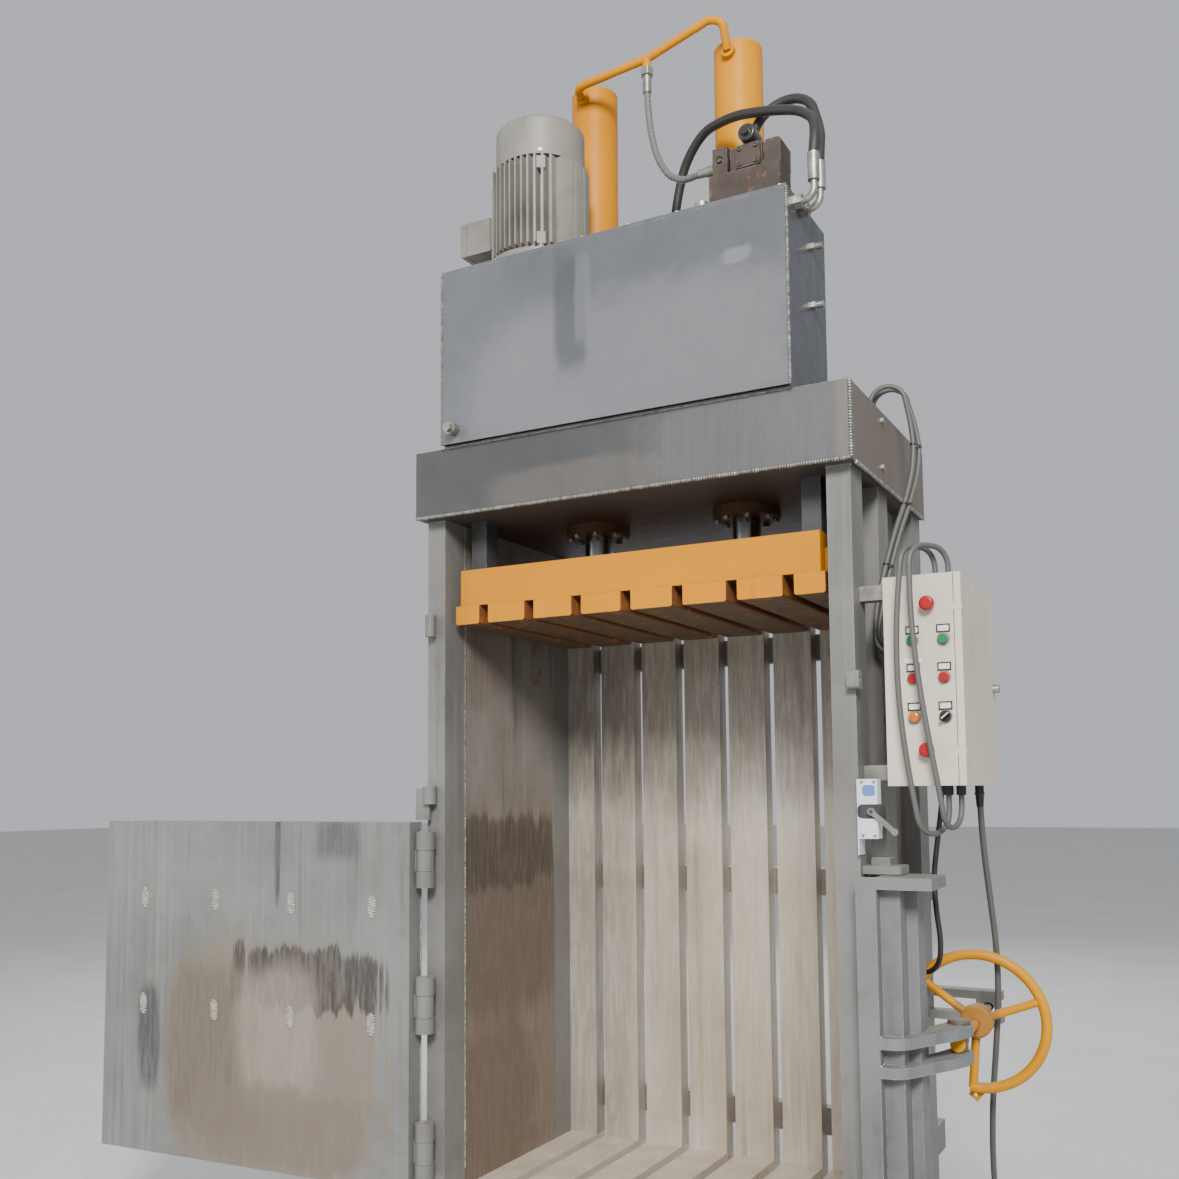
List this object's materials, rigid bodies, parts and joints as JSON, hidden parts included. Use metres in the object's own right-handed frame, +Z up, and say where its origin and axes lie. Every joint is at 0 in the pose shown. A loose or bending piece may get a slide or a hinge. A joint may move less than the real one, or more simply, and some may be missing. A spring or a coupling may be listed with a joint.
{
  "type": "scrap metal briquetting press",
  "caption": "Upright hydraulic press with slatted open chamber, swinging front door with screw clamp, platen on two cylinders, oil tank, motor and control cabinet.",
  "frame": {"origin": "centre of the base's footprint, on the ground", "axes": "+X to the right and +Y into the depth as seen from the front, +Z up"},
  "size_m": [2.7596, 1.1471, 3.5407],
  "materials": {
    "grey_steel": "worn grey paint with dirt and rust",
    "bare_steel": "worn bare steel",
    "tank_paint": "dark blue-grey paint",
    "yellow_paint": "yellow enamel with small chips",
    "rod_chrome": "polished",
    "motor_paint": "cream-grey paint",
    "valve_iron": "rusty brown",
    "black_metal": "glossy black",
    "cabinet_paint": "beige powder coat",
    "zinc_steel": "zinc plated",
    "red_plastic": "glossy red",
    "green_plastic": "glossy green",
    "black_plastic": "black",
    "switch_plastic": "pale blue-white",
    "cable_sheath": "grey rubber",
    "hose_rubber": "dark rubber",
    "hose_grey": "grey braided cover"
  },
  "bodies": {
    "machine": {"base_frame": "grey_steel", "front_posts": "grey_steel", "rear_posts": "grey_steel", "side_walls": "grey_steel", "wall_stiffeners": "grey_steel", "rear_slats": "bare_steel", "floor_bars": "bare_steel", "crown_beam": "grey_steel", "oil_tank": "tank_paint", "tank_lid": "tank_paint", "tank_plugs": "zinc_steel", "cylinders": "yellow_paint", "pressure_pipes": "yellow_paint", "hose_fittings": "zinc_steel", "valve_block": "valve_iron", "valve_cap": "valve_iron", "valve_solenoid": "black_metal", "motor_body": "motor_paint", "fan_cover": "motor_paint", "oil_pump": "zinc_steel", "post_hinges": "grey_steel", "clamp_pin": "grey_steel", "clamp_brackets": "grey_steel", "switch_body": "switch_plastic", "cabinet_body": "cabinet_paint", "cabinet_brackets": "zinc_steel", "control_gear": "zinc_steel", "button_bezels": "zinc_steel", "cable_fittings": "black_plastic", "frame_bolts": "zinc_steel", "valve_hose": "hose_grey", "cylinder_hose": "hose_rubber", "return_hose": "hose_rubber", "crown_cable_1": "cable_sheath", "crown_cable_2": "cable_sheath", "loop_cable_1": "cable_sheath", "loop_cable_2": "cable_sheath", "side_cable": "hose_rubber", "supply_cable": "cable_sheath", "supply_coil": "cable_sheath", "supply_plug": "red_plastic"},
    "platen": {"platen_frame": "yellow_paint", "platen_runners": "yellow_paint", "piston_rods": "rod_chrome"},
    "door": {"door_plate": "grey_steel", "door_ribs": "grey_steel"},
    "clamp": {"clamp_jaw": "grey_steel"},
    "trunnion": {"screw_trunnion": "bare_steel"},
    "wheel": {"handwheel": "yellow_paint"},
    "fan": {"motor_fan": "black_plastic"},
    "lever": {"switch_lever": "zinc_steel"},
    "panel_door": {"cabinet_door": "cabinet_paint"},
    "panel_lock": {"cabinet_lock": "zinc_steel"},
    "stop_top": {"emergency_top": "red_plastic"},
    "stop_low": {"emergency_low": "red_plastic"},
    "start_right": {"start_button_right": "green_plastic"},
    "stop_right": {"stop_button_right": "red_plastic"},
    "start_left": {"start_button_left": "green_plastic"},
    "stop_left": {"stop_button_left": "red_plastic"},
    "selector": {"selector_switch": "black_plastic"}
  },
  "joints": [
    {"name": "platen_travel", "type": "slide", "parent": "machine", "child": "platen", "axis": [0, 0, 1], "range_m": [-1.18, 0]},
    {"name": "door_hinge", "type": "hinge", "parent": "machine", "child": "door", "pos_m": [-0.605, -0.44, 0.77], "axis": [0, 0, 1], "range_deg": [-20, 177]},
    {"name": "clamp_swing", "type": "hinge", "parent": "machine", "child": "clamp", "pos_m": [0.66, -0.333, 0.75], "axis": [0, 0, 1], "range_deg": [-28, 0.5]},
    {"name": "trunnion_swivel", "type": "hinge", "parent": "clamp", "child": "trunnion", "pos_m": [0.8, -0.213, 0.757], "axis": [0, 0, 1], "range_deg": [-0.5, 31.5]},
    {"name": "handwheel_turn", "type": "hinge", "parent": "trunnion", "child": "wheel", "pos_m": [0.8, -0.213, 0.757], "axis": [0.0479, -0.9988, 0], "range_deg": [0, 2920]},
    {"name": "fan_turn", "type": "hinge", "parent": "machine", "child": "fan", "pos_m": [-0.295, -0.308, 3.2], "axis": [0, 0, 1], "continuous": true},
    {"name": "switch_lever_swing", "type": "hinge", "parent": "machine", "child": "lever", "pos_m": [0.658, -0.419, 1.309], "axis": [0, 1, 0], "range_deg": [-15, 15], "stiffness_Nm_per_rad": 0.4},
    {"name": "cabinet_door_hinge", "type": "hinge", "parent": "machine", "child": "panel_door", "pos_m": [0.866, -0.377, 1.615], "axis": [0, 0, 1], "range_deg": [-105, 0]},
    {"name": "cabinet_lock_turn", "type": "hinge", "parent": "panel_door", "child": "panel_lock", "pos_m": [0.87, -0.008, 1.615], "axis": [1, 0, 0], "range_deg": [-90, 0]},
    {"name": "emergency_top_push", "type": "slide", "parent": "machine", "child": "stop_top", "axis": [0, 1, 0], "range_m": [0, 0.004], "stiffness_N_per_m": 400},
    {"name": "emergency_low_push", "type": "slide", "parent": "machine", "child": "stop_low", "axis": [0, 1, 0], "range_m": [0, 0.004], "stiffness_N_per_m": 400},
    {"name": "start_right_push", "type": "slide", "parent": "machine", "child": "start_right", "axis": [0, 1, 0], "range_m": [0, 0.004], "stiffness_N_per_m": 400},
    {"name": "stop_right_push", "type": "slide", "parent": "machine", "child": "stop_right", "axis": [0, 1, 0], "range_m": [0, 0.004], "stiffness_N_per_m": 400},
    {"name": "start_left_push", "type": "slide", "parent": "machine", "child": "start_left", "axis": [0, 1, 0], "range_m": [0, 0.004], "stiffness_N_per_m": 400},
    {"name": "stop_left_push", "type": "slide", "parent": "machine", "child": "stop_left", "axis": [0, 1, 0], "range_m": [0, 0.004], "stiffness_N_per_m": 400},
    {"name": "selector_turn", "type": "hinge", "parent": "machine", "child": "selector", "pos_m": [0.828, -0.393, 1.527], "axis": [0, 1, 0], "range_deg": [0, 90]}
  ],
  "couplings": [
    {"joint": "clamp_swing", "follows": "handwheel_turn", "ratio": -0.0094174},
    {"joint": "trunnion_swivel", "follows": "handwheel_turn", "ratio": 0.010626}
  ]
}
